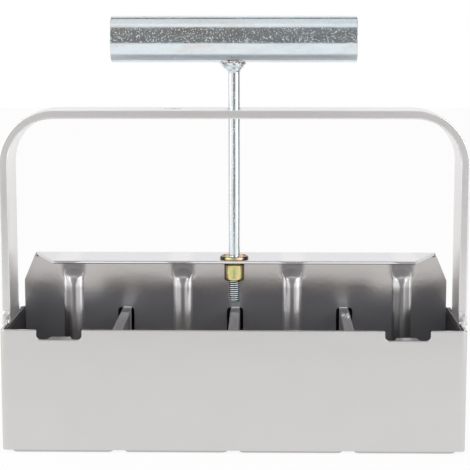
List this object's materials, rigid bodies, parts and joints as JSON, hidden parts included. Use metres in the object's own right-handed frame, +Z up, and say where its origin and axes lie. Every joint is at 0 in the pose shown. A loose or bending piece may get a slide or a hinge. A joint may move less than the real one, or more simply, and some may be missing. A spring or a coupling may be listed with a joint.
{
  "type": "soil blocker",
  "caption": "Hand-held soil blocker: open sheet-metal box split into cells, bent flat-bar frame, and a sliding ejector with ribbed web, zinc-plated rod and cross-tube grip.",
  "frame": {"origin": "middle of the undersides of the ejector plates, on the rod's axis", "axes": "+X along the row of cells, +Y from the front wall to the back wall, +Z up along the rod"},
  "size_m": [0.2186, 0.0584, 0.2018],
  "materials": {
    "silver_paint": "satin silver-grey paint over sheet steel, flat bar and weld beads",
    "bright_zinc": "bright zinc plate with a faint blue cast and fine streaks along the tube",
    "yellow_zinc": "yellow passivated zinc plate, glossy"
  },
  "bodies": {
    "box": {"front_panel": "silver_paint", "back_panel": "silver_paint", "end_plate_left": "silver_paint", "end_plate_right": "silver_paint", "divider_left": "silver_paint", "divider_centre": "silver_paint", "divider_right": "silver_paint", "frame_handle": "silver_paint", "frame_welds_left": "silver_paint", "frame_welds_right": "silver_paint"},
    "plunger": {"ejector_web": "silver_paint", "ejector_plate_1": "silver_paint", "ejector_plate_2": "silver_paint", "ejector_plate_3": "silver_paint", "ejector_plate_4": "silver_paint", "plate_welds": "silver_paint", "threaded_insert": "yellow_zinc", "push_rod": "bright_zinc", "grip_tube": "bright_zinc", "grip_weld": "bright_zinc"}
  },
  "joints": [
    {"name": "plunger_slide", "type": "slide", "parent": "box", "child": "plunger", "axis": [0, 0, 1], "range_m": [0, 0.05]}
  ]
}
